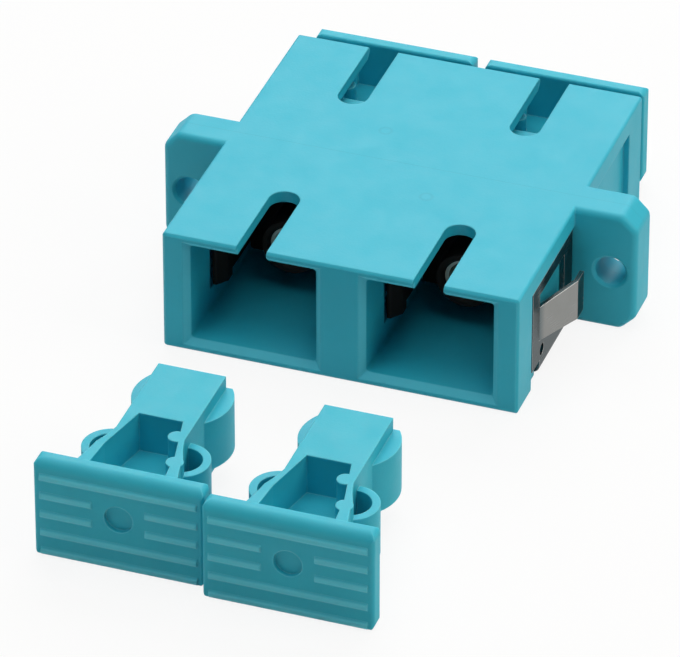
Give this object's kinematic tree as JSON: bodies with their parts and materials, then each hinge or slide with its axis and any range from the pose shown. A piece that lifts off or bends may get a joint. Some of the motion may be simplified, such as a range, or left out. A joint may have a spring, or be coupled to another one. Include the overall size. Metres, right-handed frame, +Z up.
{
  "type": "sc fibre adapter",
  "caption": "Flanged SC fibre adapter with side-by-side ports, a steel panel clip, hooked latch arms and split sleeves inside, and dust caps, some seated and some pulled out in front.",
  "frame": {"origin": "centre of the adapter's underside at mid-length, on the joint between the two housing mouldings", "axes": "+X to the right along the flange, -Y out of the front ports, +Z up with the key slots on top"},
  "size_m": [0.0346, 0.0584, 0.0092],
  "materials": {
    "housing_plastic": "satin moulded thermoplastic, aqua",
    "cap_plastic": "satin moulded soft thermoplastic, aqua",
    "latch_plastic": "satin moulded thermoplastic, black",
    "clip_steel": "stamped and folded spring steel sheet",
    "sleeve_ceramic": "polished zirconia ceramic"
  },
  "bodies": {
    "housing": {"housing_front": "housing_plastic", "housing_rear": "housing_plastic", "latch_housing_front_left": "latch_plastic", "latch_housing_front_right": "latch_plastic", "latch_housing_rear_left": "latch_plastic", "latch_housing_rear_right": "latch_plastic", "alignment_sleeve_left": "sleeve_ceramic", "alignment_sleeve_right": "sleeve_ceramic", "panel_clip": "clip_steel"},
    "front_cap_left": {"front_dust_cap_left": "cap_plastic"},
    "front_cap_right": {"front_dust_cap_right": "cap_plastic"},
    "rear_cap_left": {"rear_dust_cap_left": "cap_plastic"},
    "rear_cap_right": {"rear_dust_cap_right": "cap_plastic"}
  },
  "joints": [
    {"name": "front_cap_left_slide", "type": "slide", "parent": "housing", "child": "front_cap_left", "axis": [-0.0067, 0.9997, 0.0244], "range_m": [0, 0.02251]},
    {"name": "front_cap_right_slide", "type": "slide", "parent": "housing", "child": "front_cap_right", "axis": [0.0192, 0.9995, 0.0234], "range_m": [0, 0.02346]},
    {"name": "rear_cap_left_slide", "type": "slide", "parent": "housing", "child": "rear_cap_left", "axis": [0, 1, 0], "range_m": [0, 0.014]},
    {"name": "rear_cap_right_slide", "type": "slide", "parent": "housing", "child": "rear_cap_right", "axis": [0, 1, 0], "range_m": [0, 0.014]}
  ]
}
